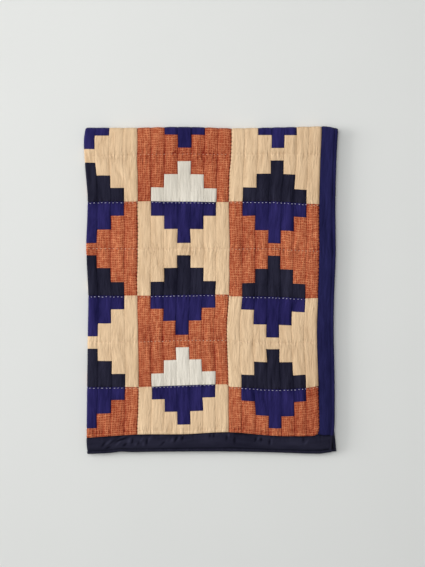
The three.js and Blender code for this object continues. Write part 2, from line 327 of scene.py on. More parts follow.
# Creases that lie in the cloth: middle, half length and half width, turn in degrees from along the
# quilt, and height
CREASES = rows_of("""
  across along length width turn height
   96 142 28   3 -25 -1.4
  112 150 30   5 -10  0.8
  128 149 28   3  13 -1.5
  136 622 22   3   8 -1.2
   96 428 30   4  38  0.9
   84 705 34   4  40  0.8
   50 962 10 2.8  40 -1.6
   65 958 10 2.8  48  1.9
   63 974  8 2.8  70 -1.6
   78 956 14 2.8  60 -1.1
   95 962 10 2.8  46  2.0
  101 953 18 2.8  70 -1.9
  108 944 13 2.8  75  1.4
  113 969  7 3.2  50 -1.9
  127 957  8 4.6  20  1.5
  136 957  9 2.8  10 -1.6
  147 968  5 3.2  40  1.8
  155 963  9 2.8  40 -1.5
  161 957  8 2.8  45  1.8
  169 968  5 3.2   0  1.5
  179 960  9 2.6   4 -2.0
  188 952  9 3.7  30  1.1
  230 963 12 2.6  48 -2.0
  237 957  9 2.8  48  1.5
  256 955  8 3.7  25  1.2
  266 954  8 2.6  25 -1.9
  275 952  6 2.8  20  1.2
  286 951  7 2.8  10 -1.5
  372 947  6 2.8   0 -1.6
  384 947  6 2.8   0 -1.5
  424 955  6 3.7  10 -1.4
  431 947  6 3.2   0  1.6
  448 961  8 3.7   0 -1.5
  510 955  6 2.8  20 -1.5
  518 951  6 2.8  30  1.5
  527 953  6 2.8  10 -1.5
  552 959  9 2.8   4 -1.6
  559 958  9 3.2   4  1.2
  658 950  6 3.7   0 -1.2
  668 958  8 3.2  40  1.4
  640 330 30   4   6  0.8
  520 620 40   5  -6  0.7
  250 360 40   5   4  0.6
  350 640 44   5  -4  0.6
""")


def creases(across, along):
    """Soft ridges and troughs at the places listed: each a bell across its line, and along it a bell
    too.
    """
    total = 0
    for middle, top, length, width, turn, height in zip(*CREASES.values()):
        cos, sin = math.cos(math.radians(turn)), math.sin(math.radians(turn))
        aside = (across - middle) * cos + (along - top) * sin
        onward = (along - top) * cos - (across - middle) * sin
        total = total + height * bell(aside, width) * bell(onward, length)
    return total


def relief(across, along, sizes):
    """How far the patchwork's face stands out from even, in millimetres.

    Each strip is a pillow between its seams, the sine of its width to a low power. On that lie fine
    crinkles along the strips, drawn up most beside the rows of quilting, slow unevenness, the
    creases, and narrow troughs at the rows of stitches and where two cloths meet. Beyond each row
    across the blocks' middles the cloth stands up in a low ridge.
    """
    to_side, to_end, meets_side, meets_end = seam_lines(across, along)
    past_top, past_middle = (
        (along - first + BLOCK / 2) % BLOCK - BLOCK / 2 for first in (ROW_TOP, MIDDLE_TOP)
    )
    strength = PUFFED[cloth_at(across, along)]
    out = sizes.puff / MM * (np.sin(np.pi * to_side / LOG) ** 0.55 - 1) * strength
    gather = 1 + 0.8 * bell(np.minimum(np.abs(past_top), np.abs(past_middle)), 22)
    bent = across + 3 * uneven(across, along, 60, 90, 3)
    fine = uneven(bent, along, 14, 70, 11) + 0.5 * uneven(bent, along, 7.5, 30, 12)
    out = out + sizes.crinkle / MM * strength * gather * fine
    out = out + 0.45 * uneven(across, along, *SLOW) + creases(across, along)
    pulled = 0.75 + 0.25 * np.cos(2 * np.pi * (across + PITCH / 4) / PITCH)
    out = out - 0.9 * pulled * (bell(past_top, 3.2) + bell(past_middle, 2.4))
    out = out + 0.65 * strength * bell(past_middle - 5, 3)
    return out - 0.55 * meets_end * bell(to_end, 2) - 0.45 * meets_side * bell(to_side, 2)


def rim_dip(across, along):
    """A dip of the patchwork's face towards its edges: a bell of the distance from each."""
    edges = ((across, INNER_FIELD), (across, OUTER_FIELD), (along, HEAD_FIELD), (along, FOOT_FIELD))
    return DIP * sum(bell(at - edge, DIP_WIDTH) for at, edge in edges)


# How far the strips' lines stray towards the foot, in the first column of blocks, at the left and
# right of the second, and at the left and right of the third
STRAY = rows_of("""
  along first left2 right2 left3 right3
  -60  0  0  0  0  0
   30 -2 -3 -2 -5 -1
   70 -1 -3 -3 -4 -3
  110  0 -2 -3 -6 -6
  150 -1 -4 -2 -7 -4
  190 -4 -4  0 -6  0
  230 -2 -2  0 -2  0
  270  1  1  2  2  1
  310  2  0  2  6  5
  350  2  3  3  4  4
  390 -1  0  0  1  1
  430 -3 -3 -3  2 -1
  470 -1 -2 -2  5  0
  510  0 -1 -1  5  3
  550  2  0  0  4  6
  590  5 -2 -1  8  9
  630  5  2  2  7  7
  670  3  2  2  2  2
  710  0  1 -1  2  2
  750  0  1 -4  5  3
  790  0  1 -3  5  4
  830  0  1 -2  7  5
  870 -1  0 -1  9  7
  910  2  0  0  6  6
""")
STRAY_AT = (60, 200, 425, 435, 650)

# How much paler than even the cloths are, in hundredths, block by block: in the first column of
# blocks, and at the left and right of the second and third
BLOCK_TONE = rows_of("""
  along first left2 right2 left3 right3
  -60  0   0  0 0  0
   70 -3  -5 -8 4 -8
  170 -3 -11 -9 2 -7
  310  3  -5  6 1  6
  440  5   1  6 6  5
  585  4   6  8 0  2
  710  2  -3  0 5 -5
  860  0   5  3 8 -8
""")
BLOCK_TONE_AT = (125, 165, 400, 450, 675)


def in_table(table, stops, across, along):
    """A table's values at points: straight from row to row along the quilt, and then straight from
    column to column between the stops across it."""
    columns = [column for name, column in table.items() if name != "along"]
    lines = np.array([np.interp(along, table["along"], column) for column in columns])
    at = np.interp(across, stops, range(len(stops)))
    left = np.minimum(at.astype(int), len(stops) - 2)
    return pick(lines, left) * (left + 1 - at) + pick(lines, left + 1) * (at - left)


def strayed(across, along, unevenness):
    """Strips sewn by hand stray from their lines: by the table lengthways, and by smooth random
    amounts both ways, less and less towards the borders."""
    from_sides = np.minimum(OUTER_FIELD - across, across - INNER_FIELD)
    from_ends = np.minimum(FOOT_FIELD - along, along - HEAD_FIELD)
    fading = ease(np.minimum(from_sides, from_ends) / 38)
    share = unevenness / MM * fading
    lengthways = fading * in_table(STRAY, STRAY_AT, across, along)
    return (
        across + share * uneven(across, along, 43, 51, 31),
        along + lengthways + 0.5 * share * uneven(across, along, 47, 41, 32),
    )


def blunted(across, along):
    """The patchwork's corner beside the foot is drawn in, so that it is blunt: a bell round it."""
    pull = BLUNTED * bell(across - OUTER_FIELD, 13) * bell(along - FOOT_FIELD, 13)
    return across - pull, along - pull


def uppermost(across, along):
    """1 on the uppermost layer and 0 on those below, eased from one to the other round the folds."""
    return ease(across / FIRST_TURN + 1) * ease(along / SECOND_TURN + 0.6)


def layered(out, across, along):
    """Relief by layer: whole on the uppermost, and only troughs, half as deep, where another layer or
    the floor presses."""
    free = uppermost(across, along)
    return free * out + (1 - free) * 0.5 * np.minimum(out, 0)


# ---- Meshes ----

# The first log line, half the length of cloth in the bend, and how many steps go round it
ACROSS = (FIRST_LINE_ACROSS, FIRST_TURN, 10)
ALONG = (FIRST_LINE_ALONG, SECOND_TURN, 18)


def stations(low, high, way, fine, coarse, extra=()):
    """Rising distances over the cloth: offsets from each log line, fine where it shows and coarse
    where it is folded under, with even steps round the turn. Those that crowd a line, an end or one
    another are left out."""
    first, turn, steps = way
    starts = first + LOG * np.arange(math.floor((low - first) / LOG), (high - first) // LOG + 1)
    lines = starts[(starts > low) & (starts < high)]
    offsets = [start + np.array(fine if start + LOG > 0 else coarse) for start in starts]
    loose = np.concatenate([*offsets, extra])
    loose = loose[np.abs(loose) > turn + 0.6]
    loose = np.concatenate([loose, np.linspace(-turn, turn, steps + 1)])
    fixed = np.concatenate([[low], lines, [high]])
    loose = loose[(loose > low) & (loose < high)]
    loose = np.sort(loose[np.abs(loose[:, None] - fixed).min(axis=1) > 0.5])
    loose = loose[np.diff(loose, prepend=low - 10) > 0.9]
    return np.sort(np.concatenate([fixed, loose]))


def thinned(all_stations, spacing):
    """Those of the stations that stand about the spacing apart, with both ends."""
    kept = [0]
    for k in range(1, len(all_stations) - 1):
        if all_stations[k] - all_stations[kept[-1]] >= spacing:
            kept.append(k)
    return np.array([*kept, len(all_stations) - 1])


def put(name, data):
    """A new object in the scene."""
    made = bpy.data.objects.new(name, data)
    bpy.context.scene.collection.objects.link(made)
    return made


def piece(name, nodes, points, faces, materials, kinds=None, plan=None, values=None, sharp=50):
    """A smooth mesh object from points in millimetres. It rides on the one body and stands for its
    frame nodes. Its faces are turned outwards: they are all turned over if the volume that they
    enclose comes out below zero."""
    volume = 0.0
    for k in (1, 2):
        some = [face for face in faces if len(face) > k + 1]
        a, b, c = (points[[face[n] for face in some]] for n in (0, k, k + 1))
        volume += float((a * np.cross(b, c)).sum())
    if volume < 0:
        faces = [face[::-1] for face in faces]
    mesh = bpy.data.meshes.new(name)
    mesh.from_pydata(points * MM, [], faces)
    for material in materials:
        mesh.materials.append(material)
    if kinds is not None:
        mesh.polygons.foreach_set("material_index", np.asarray(kinds, np.int32))
    if plan is not None:
        corners = np.zeros(len(mesh.loops), np.int32)
        mesh.loops.foreach_get("vertex_index", corners)
        layer = mesh.uv_layers.new(name="open_quilt")
        layer.uv.foreach_set("vector", (plan[corners] * MM).astype(np.float32).ravel())
    for label, at_points in (values or {}).items():
        attribute = mesh.attributes.new(label, "FLOAT", "POINT")
        attribute.data.foreach_set("value", at_points.astype(np.float32))
    mesh.shade_smooth()
    mesh.set_sharp_from_angle(angle=math.radians(sharp))
    mesh.validate()
    mesh.update()
    made = put(name, mesh)
    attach(made, "root")
    if nodes:
        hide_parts(*nodes)
    return made


def sheet_mesh(across, along, face_out, back_out, spacing):
    """Plan, distances out and faces of a closed panel of cloth, and which faces are of its back.

    The face is a grid of the stations, and the back a grid of some of them. A wall joins the two
    round the rim: each edge of the face's rim makes a triangle with the back's last corner, and each
    edge of the back's rim a triangle with the face's point over its end.
    """
    columns, rows = len(across), len(along)
    back_columns, back_rows = thinned(across, spacing), thinned(along, spacing)
    face_grid = np.meshgrid(along, across, indexing="ij")[::-1]
    back_grid = np.meshgrid(along[back_rows], across[back_columns], indexing="ij")[::-1]
    plan = np.concatenate([np.stack(grid, -1).reshape(-1, 2) for grid in (face_grid, back_grid)])
    out = np.concatenate([face_out(*face_grid).ravel(), back_out(*back_grid).ravel()])

    def quads(wide, high, start):
        near = start + (np.arange(high - 1)[:, None] * wide + np.arange(wide - 1)).ravel()
        return np.stack([near, near + 1, near + 1 + wide, near + wide], axis=1)

    def rim(wide, high, start):
        right, down, last = np.arange(wide - 1), np.arange(high - 1) * wide, (high - 1) * wide
        return start + np.concatenate([right, down + wide - 1, last + wide - 1 - right, last - down])

    backward = columns * rows
    face_rim = rim(columns, rows, 0)
    back_rim = rim(len(back_columns), len(back_rows), backward)
    shared = np.isin(face_rim % columns, back_columns) & np.isin(face_rim // columns, back_rows)
    under = back_rim[np.cumsum(shared) - 1]
    ahead, ahead_under = np.roll(face_rim, -1), np.roll(under, -1)
    face_quads = quads(columns, rows, 0)
    back_quads = quads(len(back_columns), len(back_rows), backward)[:, ::-1]
    walls = np.stack([ahead, face_rim, under], axis=1)
    turning = np.stack([ahead, under, ahead_under], axis=1)[under != ahead_under]
    faces = [face for part in (face_quads, back_quads, walls, turning) for face in part.tolist()]
    return plan, out, faces, slice(len(face_quads), len(face_quads) + len(back_quads))


def tube_faces(count, rings, start=0):
    """Faces of a closed tube, with so many points in each ring: quads between rings, and two caps."""
    ring = np.arange(start, start + count)
    following = np.roll(ring, -1)
    steps = (np.arange(rings - 1) * count)[:, None]
    corners = [steps + ring, steps + following, steps + following + count, steps + ring + count]
    quads = np.stack(corners, axis=-1).reshape(-1, 4)
    return [*quads.tolist(), ring[::-1].tolist(), (ring + (rings - 1) * count).tolist()]


# ---- Materials ----

THREAD = 1.3  # millimetres from thread to thread: coarser than the real weave, so that it shows
CHECK = 6.8  # from bar to bar of the rust cloth's paler threads


def linear(hex_colour):
    """An sRGB hex colour as linear red, green, blue and alpha."""
    channels = [int(hex_colour[k : k + 2], 16) / 255 for k in (0, 2, 4)]
    return [c / 12.92 if c <= 0.04045 else ((c + 0.055) / 1.055) ** 2.4 for c in channels] + [1.0]


def add(tree, kind, inputs=None, **settings):
    """Adds a shader node with its settings. inputs gives each socket its value, or what is linked to
    it: a node's output, or a node or field for its first output."""
    node = tree.nodes.new("ShaderNode" + kind)
    for key, value in settings.items():
        setattr(node, key, value)
    for key, value in (inputs or {}).items():
        value = getattr(value, "outputs", [value])[0]
        if isinstance(value, bpy.types.NodeSocket):
            tree.links.new(value, node.inputs[key])
        else:
            node.inputs[key].default_value = value
    return node


class Field:
    """A number at each point of a cloth, from a node's output. Sums, differences and products of
    fields are fields too, so that a height or a shade can be written as its formula."""

    def __init__(self, output):
        self.outputs = [output]

    def then(self, operation, *others):
        """What a Math operation makes of this field and others."""
        inputs = dict(enumerate((self, *others)))
        return Field(add(self.outputs[0].id_data, "Math", inputs, operation=operation).outputs[0])

    def __add__(self, other):
        return self.then("ADD", other)

    def __sub__(self, other):
        return self.then("SUBTRACT", other)

    def __mul__(self, other):
        return self.then("MULTIPLY", other)

    def held(self):
        """Held between 0 and 1."""
        return self.then("MAXIMUM", 0.0).then("MINIMUM", 1.0)


def bare(name):
    """A new material, with no nodes yet."""
    material = bpy.data.materials.new(name)
    material.use_nodes = True
    material.node_tree.nodes.clear()
    return material, material.node_tree


def plain_weave(name, colour, crinkle, fold_shading, hollow_shade, lines, check=None):
    """Plain-woven cotton, washed: a matt cloth of fine crossing threads, crinkled between its seams
    by the quilting and drawn into puckers beside each row of stitches.

    The weave is the product of two sines. The puckers are sines along the stitched lines, which die
    away from them as a bell. Noise stretched along the strips gives crinkles and, where it crosses
    its middle, fine creases; more noise gives soft bands of painted shade and highlight along the
    folds. Besides their bump, the puckers, crinkles and creases are painted lighter and darker as
    light and shade would fall; the seams between strips are dark lines of painted shade, and a
    check is a bell across every bar, in both directions.
    """
    material, tree = bare(name)
    plan = add(tree, "UVMap", uv_map="open_quilt")
    in_mm = add(tree, "VectorMath", {0: plan, 1: [1 / MM] * 3}, operation="MULTIPLY")
    across, along = map(Field, add(tree, "SeparateXYZ", {0: in_mm}).outputs[:2])
    raised, block_tone = (
        Field(add(tree, "Attribute", attribute_name=key).outputs["Fac"]) for key in ("raised", "block_tone")
    )

    def noise(at, length_across, length_along, detail):
        """Noise from -0.5 to 0.5, of that size in millimetres each way."""
        inputs = {0: at, 1: (1 / length_across, 1 / length_along, 1)}
        stretched = add(tree, "VectorMath", inputs, operation="MULTIPLY")
        inputs = {"Vector": stretched, "Scale": 1.0, "Detail": detail, "Roughness": 0.55}
        return Field(add(tree, "TexNoise", inputs, noise_dimensions="2D").outputs[0]) - 0.5

    def sine(at, length):
        return (at * (2 * math.pi / length)).then("SINE")

    def bells(at, first, pitch, width):
        near = (at - first).then("PINGPONG", pitch / 2) * (1 / width)
        return (near * near * -1.0).then("EXPONENT")

    def crease(value, sharpness):
        """1 where the noise crosses its middle, falling to 0 on both sides."""
        return (value.then("ABSOLUTE") * -sharpness + 1.0).then("MAXIMUM", 0.0)

    def patches(length_across, length_along, share):
        """0 over most of the cloth, rising to about 1 in patches."""
        return (noise(in_mm, length_across, length_along, 1.0) * 5.0 + share).held()

    # Crinkles fan out and draw together along the strips, so the noise's place is bent first
    bent_across = across + noise(in_mm, 45, 90, 1.0) * 11.0
    bent = add(tree, "CombineXYZ", {0: bent_across, 1: along})
    slanted = add(tree, "CombineXYZ", {0: across + along * 0.5, 1: along})
    gathered = bells(along, BLOCK_TOP, BLOCK / 2, 18.0) * 0.6 + 0.8
    crinkles = (noise(bent, 13, 80, 1.0) + noise(bent, 5.5, 26, 2.0) * 0.55) * gathered
    creased = crease(noise(bent, 11, 75, 1.0), 13.0) * patches(45, 60, 0.35)
    creased = creased + crease(noise(slanted, 16, 40, 1.0), 15.0) * patches(70, 50, 0.1)
    # Short tucks stand beside the rows of quilting, here and there, with their shade painted in as dark
    # dashes
    tucks = ((noise(bent, 3.0, 15, 0.0) - 0.12) * 14.0).held()
    dashes = tucks * bells(along, BLOCK_TOP, BLOCK / 2, 27.0) * patches(45, 60, 0.5)
    # Where a sand block follows a rust one, each stitch pulls the seam into a dimple, and its shade is
    # painted in as a dark dot
    sided = (sine(across - BLOCK_LEFT, BLOCK) * (-18.0 if check else 18.0) + 0.5).held()
    pulled = sine(along, PITCH).then("MAXIMUM", 0.0)
    dimples = bells(across, BLOCK_LEFT, BLOCK, 2.7) * pulled * sided

    patchy = noise(in_mm, 30, 22, 1.0) * 1.6 + 0.7
    rows = bells(along, BLOCK_TOP, BLOCK / 2, 8.0) * patchy * sine(bent_across, PITCH)
    seams = bells(across, FIRST_LINE_ACROSS, LOG, 1.4) * patchy
    strips = bells(across, FIRST_LINE_ACROSS, LOG, 2.6) * patchy * sine(along, PITCH)
    weave = sine(across, THREAD) * sine(along, THREAD)
    ridges = rows * 0.5 + strips * 0.35 + crinkles * 2.8
    troughs = creased * 0.45 + dashes * 0.5 + dimples * 0.6 + seams * 0.4
    inputs = {"Strength": 1.0, "Distance": MM, "Height": weave * 0.05 + (ridges - troughs) * crinkle}
    bump = add(tree, "Bump", inputs)

    # Painted shade and highlight in the colour: puckers, crinkles, creases, tucks, dimples and seam
    # ditches are lightened and darkened as light and shade would fall on them; the raised attribute
    # paints hollows dark and puffs pale, and the stretched noise paints bands of shade along folds
    drawn = rows * 0.3 - creased * 0.5 - dashes * 0.8 - dimples * 3.6 - seams * 0.7
    shade = weave * 0.06 + crinkles * (0.3 * crinkle) + drawn * lines + (raised - 0.7) * hollow_shade + block_tone
    shade = shade + noise(bent, 14, 85, 3.0) * fold_shading + noise(in_mm, 130, 160, 2.0) * 0.12
    base = colour
    if check:
        faded = noise(in_mm, 9, 13, 2.0) * 2.4 + 0.85
        swayed = along + noise(bent, 26, 26, 1.0) * 8.0
        upright = bells(bent_across, 0.0, CHECK, 1.6) * 0.75
        bars = upright.then("MAXIMUM", bells(swayed, 0.0, CHECK, 1.7))
        inputs = {0: bars * faded, 6: colour, 7: check}
        base = add(tree, "Mix", inputs, data_type="RGBA").outputs[2]
    # Light that bounces about in a fold takes up the cloth's colour, so its paler channels fade less
    fading = [1 + 0.7 * (1 - channel / max(colour[:3])) for channel in colour[:3]]
    inputs = {0: shade, 1: fading, 2: (1, 1, 1)}
    share = add(tree, "VectorMath", inputs, operation="MULTIPLY_ADD")
    share = add(tree, "VectorMath", {0: share, 1: [0.05] * 3}, operation="MAXIMUM")
    inputs = {0: 1.0, 6: base, 7: share}
    tinted = add(tree, "Mix", inputs, data_type="RGBA", blend_type="MULTIPLY").outputs[2]
    inputs = {"Base Color": tinted, "Roughness": 0.9, "Specular IOR Level": 0.12, "Normal": bump}
    inputs |= {"Sheen Weight": 0.05, "Sheen Roughness": 0.6}
    add(tree, "OutputMaterial", {"Surface": add(tree, "BsdfPrincipled", inputs)})
    return material


def mottled(tree, at, colour, share, scale, detail):
    """A colour that goes by noise between a darker share of itself and itself."""
    mottle = add(tree, "TexNoise", {"Vector": at, "Scale": scale, "Detail": detail})
    inputs = {0: mottle, 6: [share * channel for channel in colour[:3]] + [1], 7: colour}
    return add(tree, "Mix", inputs, data_type="RGBA").outputs[2]


def cotton_thread(name, colour):
    """Quilting thread: two plies of cotton twisted together, matt and a little paler than the cloth
    beside it. The plies show as slanting ridges, which are a sine of the place along the stitch."""
    material, tree = bare(name)
    at = add(tree, "TexCoord").outputs["Object"]
    inputs = {"Vector": at, "Scale": 260.0, "Distortion": 1.5}
    twist = add(tree, "TexWave", inputs, wave_type="BANDS", bands_direction="DIAGONAL").outputs["Fac"]
    bump = add(tree, "Bump", {"Strength": 0.5, "Distance": 0.3 * MM, "Height": twist})
    tone = mottled(tree, at, colour, 0.82, 220.0, 2.0)
    inputs = {"Base Color": tone, "Roughness": 0.85, "Specular IOR Level": 0.25, "Normal": bump}
    add(tree, "OutputMaterial", {"Surface": add(tree, "BsdfPrincipled", inputs)})
    return material


def painted_board(name, colour):
    """Painted board: matt, and very faintly mottled by the roller."""
    material, tree = bare(name)
    tone = mottled(tree, add(tree, "TexCoord").outputs["Object"], colour, 0.97, 3.0, 3.0)
    inputs = {"Base Color": tone, "Roughness": 0.95, "Specular IOR Level": 0.1}
    add(tree, "OutputMaterial", {"Surface": add(tree, "BsdfPrincipled", inputs)})
    return material


def cloths(colours):
    """The quilt's cloths, in the order of their numbers: name, colours, and how much they are
    crinkled, painted with bands of shade along their folds, painted dark in their hollows and pale
    where they stand out, and painted with lines of shade at their seams and creases."""
    return [
        bpy.data.materials.get(name) or plain_weave(name, colour, *shares)
        for name, colour, *shares in (
            ("Sand plain-weave cotton", colours.sand, 0.8, 0.3, 0.15, 0.1),
            ("Rust checked cotton", colours.rust, 1.0, 0.5, 0.4, 0.3, colours.rust_check),
            ("Indigo plain-weave cotton", colours.indigo, 0.75, 1.3, 0.85, 0.2),
            ("Navy plain-weave cotton", colours.navy, 0.75, 1.4, 1.0, 0.3),
            ("Off-white plain-weave cotton", colours.white, 0.65, 0.2, 0.2, 0.06),
            ("Deep indigo plain-weave cotton", colours.deep_indigo, 0.6, 1.0, 0.8, 0.0),
            # The end borders' navy is the navy's own colour with deeper painted shade in its hollows
            ("Deep navy plain-weave cotton", colours.navy, 0.6, 0.8, 1.6, 0.0),
            ("Sand backing cotton", colours.sand, 0.3, 0.15, 0.0, 0.0),
        )
    ]


# ---- Settings that a user would change ----


def amount(name, description, default, unit="LENGTH"):
    """A size, power or strength that a user can change, with its default."""
    return bpy.props.FloatProperty(name=name, description=description, default=default, unit=unit)


def colour_setting(name, description, hex_colour):
    """A colour that a user can change, with its default."""
    shown = {"name": name, "description": description, "default": linear(hex_colour)}
    return bpy.props.FloatVectorProperty(subtype="COLOR", size=4, min=0, max=1, **shown)


class QuiltCloth(bpy.types.PropertyGroup):
    """Sizes of the quilting."""

    puff: amount("Puff", "How far the batting lifts each strip above its seams", 1.5 * MM)
    crinkle: amount("Crinkle", "Height of the crinkles that washing leaves along strips", 0.32 * MM)
    unevenness: amount("Unevenness", "How far hand-sewn strips stray from straight lines", 1.6 * MM)
    stitch: amount("Stitch", "Length of one quilting stitch that shows", 5.2 * MM)
    thread: amount("Thread", "Width of the quilting thread", 1.25 * MM)


class QuiltColours(bpy.types.PropertyGroup):
    """Colours of the cloths and thread."""

    sand: colour_setting("Sand", "Background cloth of every other block", "e1c19b")
    rust: colour_setting("Rust", "Checked background cloth of the other blocks", "9c3f22")
    rust_check: colour_setting("Rust check", "Paler threads of the checked cloth", "d08058")
    indigo: colour_setting("Indigo", "Steps that point down", "211c53")
    deep_indigo: colour_setting("Deep indigo", "Side borders and their binding", "1b1a48")
    navy: colour_setting("Navy", "Steps that point up, and the end borders", "1d1c2e")
    white: colour_setting("Off-white", "Steps in some of the rust blocks", "e2dbcd")
    thread: colour_setting("Thread", "Quilting thread along the blocks' seams", "cfcbe6")
    middle_thread: colour_setting("Middle thread", "Quilting thread across the blocks", "eec8ac")
    seam_thread: colour_setting("Seam thread", "Quilting thread beside upright seams", "6b301c")


class QuiltStage(bpy.types.PropertyGroup):
    """Floor, light and camera."""

    floor: colour_setting("Floor", "Plain surface that the quilt lies on", "e4e5e2")
    window: amount("Window light", "Power of the low soft light at the left", 1000.0, "POWER")
    high_window: amount("High window light", "Power of the higher light beyond it", 64.0, "POWER")
    overhead: amount("Overhead light", "Power of the broad light above", 90.0, "POWER")
    room: amount("Room light", "Strength of the even light from all round", 0.268, "NONE")
    shown: amount("Height shown", "Height of the picture at the quilt's upper face", 1.718)


# ---- Operators: the stage, then each group of pieces ----


class QUILT_OT_stage(bpy.types.Operator):
    """Add the floor, the lights and a camera straight above"""

    bl_idname = "quilt.stage"
    bl_label = "Stage"

    def execute(self, context):
        settings = context.scene.quilt_stage
        context.scene.view_settings.view_transform = "Standard"
        self.add_floor(settings)
        self.add_lights(settings)
        self.add_camera(settings)
        return {"FINISHED"}

    def add_floor(self, settings):
        """A broad plain square of painted board."""
        half = 15.0
        mesh = bpy.data.meshes.new("floor")
        corners = [(-half, -half, 0), (half, -half, 0), (half, half, 0), (-half, half, 0)]
        mesh.from_pydata(corners, [], [(0, 1, 2, 3)])
        mesh.materials.append(painted_board("Matt painted board", settings.floor))
        put("floor", mesh)

    def add_lights(self, settings):
        """Soft lights low on the left and higher beyond it, one above, and an even light all round."""
        world = bpy.data.worlds.new("Room")
        world.use_nodes = True
        background = world.node_tree.nodes["Background"]
        background.inputs["Color"].default_value = linear("f4f6f8")
        background.inputs["Strength"].default_value = settings.room
        bpy.context.scene.world = world
        for name, power, place_at, width, height in (
            ("window", settings.window, (-12.0, 0.3, 4.2), 6.0, 4.5),
            ("high_window", settings.high_window, (-4.1, 2.5, 3.6), 3.0, 2.8),
            ("overhead", settings.overhead, (-0.4, 0.75, 4.3), 2.8, 2.8),
        ):
            light = bpy.data.lights.new(name, "AREA")
            light.shape = "RECTANGLE"
            light.size, light.size_y, light.energy = width, height, power
            made = put(name, light)
            made.location = place_at
            made.rotation_euler = (-made.location).to_track_quat("-Z", "Y").to_euler()
            made.visible_camera = False

    def add_camera(self, settings):
        """A long lens straight above, a little right of and behind the quilt's middle."""
        camera = bpy.data.cameras.new("camera")
        camera.lens = 85.0
        camera.sensor_width = 36.0
        distance = settings.shown * camera.lens / camera.sensor_width
        made = put("camera", camera)
        made.location = (3.6 * MM, 20.1 * MM, FRAME_BOX[1][2] + distance)
        bpy.context.scene.camera = made


class QUILT_OT_patchwork(bpy.types.Operator):
    """Add the quilted patchwork, one sheet folded twice"""

    bl_idname = "quilt.patchwork"
    bl_label = "Patchwork"

    # Where a strip is divided, from its seam: closer beside the seams
    FINE_ACROSS = (1.5, 4, 7.5, 11, 14, 17, 20, 23, 26, 29, 32.5, 36, 38.5)
    FINE_ALONG = (1.5, 4.5, 9.5, 15, 21, 27, 33, 37.5)
    COARSE = (20,)
    BESIDE_ROWS = (-1.7, 0, 1.7, 3.4, 6.5)  # more divisions at the rows of stitches that show

    def execute(self, context):
        sizes = context.scene.quilt_cloth
        gap = SEAM_GAP / 2
        seams = np.array([[ROW_TOP], [MIDDLE_TOP]]) + BLOCK * np.arange(4)
        beside = (seams[..., None] + self.BESIDE_ROWS).ravel()
        field = INNER_FIELD + gap, OUTER_FIELD - gap
        columns = stations(*field, ACROSS, self.FINE_ACROSS, self.COARSE)
        field = HEAD_FIELD + gap, FOOT_FIELD - gap
        rows = stations(*field, ALONG, self.FINE_ALONG, self.COARSE, beside)

        def face_out(across, along):
            raised = relief(across, along, sizes) - rim_dip(across, along)
            return QUILT / 2 + layered(raised, across, along)

        def back_out(across, along):
            return np.full(across.shape, -QUILT / 2)

        plan, out, faces, back = sheet_mesh(columns, rows, face_out, back_out, 15)
        middles = np.array([plan[face].mean(axis=0) for face in faces])
        kinds = cloth_at(*middles.T)
        kinds[back] = BACKING
        points = place(*blunted(*strayed(*plan.T, sizes.unevenness)), out)
        # Painted shade and highlight: dark where the face sinks into hollows, pale where it stands out
        values = {"raised": np.clip((out - QUILT / 2) / STANDS + 0.85, 0, 1)}
        values["block_tone"] = in_table(BLOCK_TONE, BLOCK_TONE_AT, *plan.T) / 100
        name, nodes = "quilted_patchwork_cloth", ["quilted_patchwork"]
        colours = cloths(context.scene.quilt_colours)
        piece(name, nodes, points, faces, colours, kinds, plan, values)
        return {"FINISHED"}


# The quilt's edges: names, inner seam and width of the border, the way out, and what lies under
EDGES = (
    ("side_{}_outer", OUTER_FIELD, SIDE_BORDER, 1, "floor"),
    ("side_{}_inner", INNER_FIELD, SIDE_BORDER, -1, "quilted_patchwork_cloth"),
    ("foot_{}", FOOT_FIELD, END_BORDER, 1, "quilted_patchwork_cloth"),
    ("head_{}", HEAD_FIELD, END_BORDER, -1, "floor"),
)


